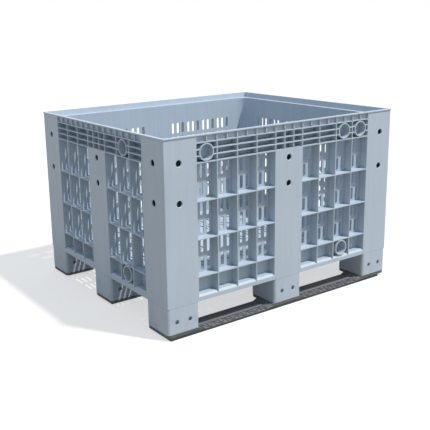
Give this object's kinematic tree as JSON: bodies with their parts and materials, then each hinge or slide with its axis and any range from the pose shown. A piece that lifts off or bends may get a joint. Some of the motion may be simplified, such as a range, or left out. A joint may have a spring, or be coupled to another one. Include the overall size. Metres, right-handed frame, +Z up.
{
  "type": "plastic pallet box",
  "caption": "Perforated bulk box of blue-grey plastic with ribbed walls, on feet with black runners screwed under them, open at the top and made for fork trucks.",
  "frame": {"origin": "on the ground under the middle of the box", "axes": "+X along the long side, +Y along the short side, +Z up out of the open top"},
  "size_m": [1.2, 1, 0.76],
  "materials": {
    "body_plastic": "injection moulded blue-grey polyethylene, matt",
    "runner_plastic": "black recycled polyethylene, matt and dusty",
    "screw_steel": "dark coated steel"
  },
  "bodies": {
    "root": {"box_body": "body_plastic", "runner_front": "runner_plastic", "runner_centre": "runner_plastic", "runner_back": "runner_plastic", "screw_front_left_a": "screw_steel", "screw_front_left_b": "screw_steel", "screw_front_middle_a": "screw_steel", "screw_front_middle_b": "screw_steel", "screw_front_right_a": "screw_steel", "screw_front_right_b": "screw_steel", "screw_centre_left_a": "screw_steel", "screw_centre_left_b": "screw_steel", "screw_centre_middle_a": "screw_steel", "screw_centre_middle_b": "screw_steel", "screw_centre_right_a": "screw_steel", "screw_centre_right_b": "screw_steel", "screw_inner_left_a": "screw_steel", "screw_inner_left_b": "screw_steel", "screw_inner_middle_a": "screw_steel", "screw_inner_middle_b": "screw_steel", "screw_inner_right_a": "screw_steel", "screw_inner_right_b": "screw_steel", "screw_back_left_a": "screw_steel", "screw_back_left_b": "screw_steel", "screw_back_middle_a": "screw_steel", "screw_back_middle_b": "screw_steel", "screw_back_right_a": "screw_steel", "screw_back_right_b": "screw_steel"}
  },
  "joints": []
}
